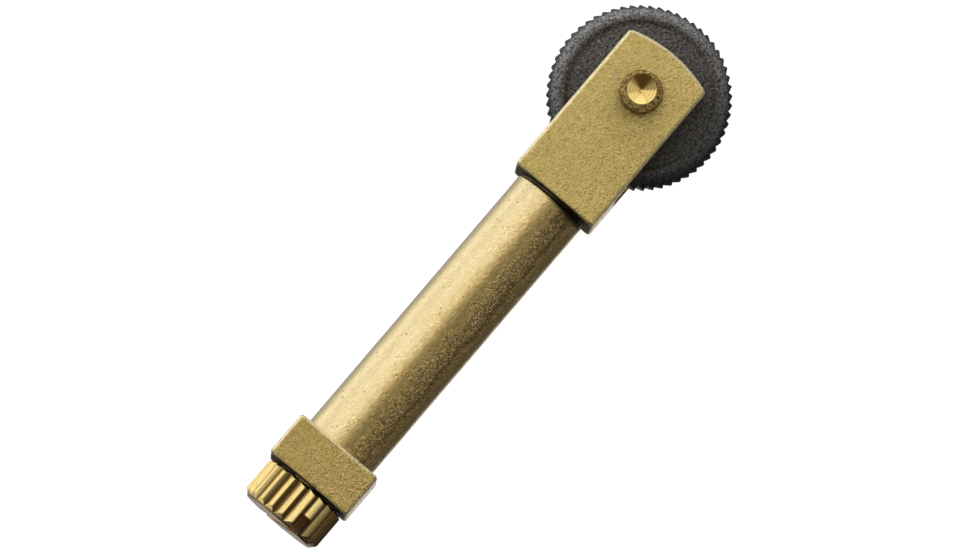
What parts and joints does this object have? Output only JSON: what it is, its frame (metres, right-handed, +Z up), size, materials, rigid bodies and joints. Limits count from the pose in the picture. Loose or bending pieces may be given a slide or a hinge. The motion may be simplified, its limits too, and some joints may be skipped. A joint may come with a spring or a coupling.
{
  "type": "flint wheel spark striker",
  "caption": "Pocket spark striker: a square yoke with a toothed spark wheel on a rivet, a round flint barrel, a square end collar and a splined thumb screw.",
  "frame": {"origin": "below the middle of the tool's length and width, on the surface that it lies on", "axes": "+X along the tool from the thumb screw to the spark wheel, +Z up along the spark wheel's axle towards the rivet's raised boss, +Y to the side"},
  "size_m": [0.0426, 0.0122, 0.0069],
  "materials": {
    "flat_brass": "matt, fine-grained flat faces with small pits and bright worn edges",
    "tube_brass": "satin turned brass with pits and a brown tint",
    "bright_brass": "bright machined brass",
    "wheel_steel": "dark blasted hardened steel",
    "spring_steel": "drawn spring wire",
    "flint_lacquer": "gold-lacquered ferrocerium rod"
  },
  "bodies": {
    "tool_body": {"yoke": "flat_brass", "barrel": "tube_brass", "end_collar": "flat_brass", "wheel_axle": "bright_brass"},
    "wheel": {"spark_wheel": "wheel_steel"},
    "flint_stack": {"flint_1": "flint_lacquer", "flint_2": "flint_lacquer", "flint_3": "flint_lacquer", "flint_plunger": "bright_brass"},
    "spring_seat": {"feed_spring": "spring_steel"},
    "screw": {"thumb_screw": "bright_brass"}
  },
  "joints": [
    {"name": "wheel_spin", "type": "hinge", "parent": "tool_body", "child": "wheel", "pos_m": [0.01522, 0, 0.00325], "axis": [0, 0, 1], "continuous": true},
    {"name": "flint_feed", "type": "slide", "parent": "tool_body", "child": "flint_stack", "axis": [1, 0, 0], "range_m": [-0.0015, 0], "stiffness_N_per_m": 200, "springref_m": 0.0004, "deforming": ["feed_spring"]},
    {"name": "screw_travel", "type": "slide", "parent": "tool_body", "child": "spring_seat", "axis": [-1, 0, 0], "range_m": [0, 0.0045], "deforming": ["feed_spring"]},
    {"name": "thumb_screw_turn", "type": "hinge", "parent": "spring_seat", "child": "screw", "pos_m": [-0.01842, 0, 0.00325], "axis": [-1, 0, 0], "range_deg": [0, 3240]}
  ],
  "couplings": [
    {"joint": "thumb_screw_turn", "follows": "screw_travel", "rad_per_m": 12566}
  ]
}
